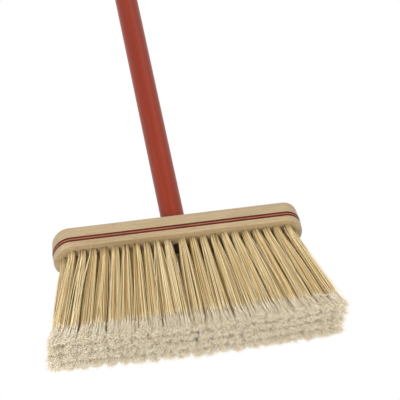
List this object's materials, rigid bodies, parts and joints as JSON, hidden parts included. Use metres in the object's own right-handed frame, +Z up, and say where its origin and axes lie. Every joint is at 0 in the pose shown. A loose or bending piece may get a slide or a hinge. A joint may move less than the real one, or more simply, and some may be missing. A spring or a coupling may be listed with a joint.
{
  "type": "push broom",
  "caption": "Upright push broom: oval hardwood block with grooved edge, rows of flared, flagged filament tufts and a straight round wooden handle seated in a taper.",
  "frame": {"origin": "on the ground under the middle of the block, in the plane of the bristle tips", "axes": "+Z up along the handle, X along the block, -Y towards the front"},
  "size_m": [0.3082, 0.062, 1.3407],
  "materials": {
    "block_wood": "satin",
    "handle_wood": "gloss",
    "bristle": "matte"
  },
  "bodies": {
    "head": {"block": "block_wood", "tuft_front_01": "bristle", "tuft_front_02": "bristle", "tuft_front_03": "bristle", "tuft_front_04": "bristle", "tuft_front_05": "bristle", "tuft_front_06": "bristle", "tuft_front_07": "bristle", "tuft_front_08": "bristle", "tuft_front_09": "bristle", "tuft_front_10": "bristle", "tuft_front_11": "bristle", "tuft_front_12": "bristle", "tuft_front_13": "bristle", "tuft_front_14": "bristle", "tuft_front_15": "bristle", "tuft_front_16": "bristle", "tuft_front_17": "bristle", "tuft_front_18": "bristle", "tuft_front_19": "bristle", "tuft_front_20": "bristle", "tuft_front_21": "bristle", "inner_row_front_left": "bristle", "inner_row_front_right": "bristle", "tuft_back_01": "bristle", "tuft_back_02": "bristle", "tuft_back_03": "bristle", "tuft_back_04": "bristle", "tuft_back_05": "bristle", "tuft_back_06": "bristle", "tuft_back_07": "bristle", "tuft_back_08": "bristle", "tuft_back_09": "bristle", "tuft_back_10": "bristle", "tuft_back_11": "bristle", "tuft_back_12": "bristle", "tuft_back_13": "bristle", "tuft_back_14": "bristle", "tuft_back_15": "bristle", "tuft_back_16": "bristle", "tuft_back_17": "bristle", "tuft_back_18": "bristle", "tuft_back_19": "bristle", "tuft_back_20": "bristle", "tuft_back_21": "bristle", "inner_row_back_left": "bristle", "inner_row_back_right": "bristle"},
    "handle": {"handle": "handle_wood"}
  },
  "joints": [
    {"name": "handle_pull", "type": "slide", "parent": "head", "child": "handle", "axis": [0, 0, 1], "range_m": [0, 0.04]}
  ]
}
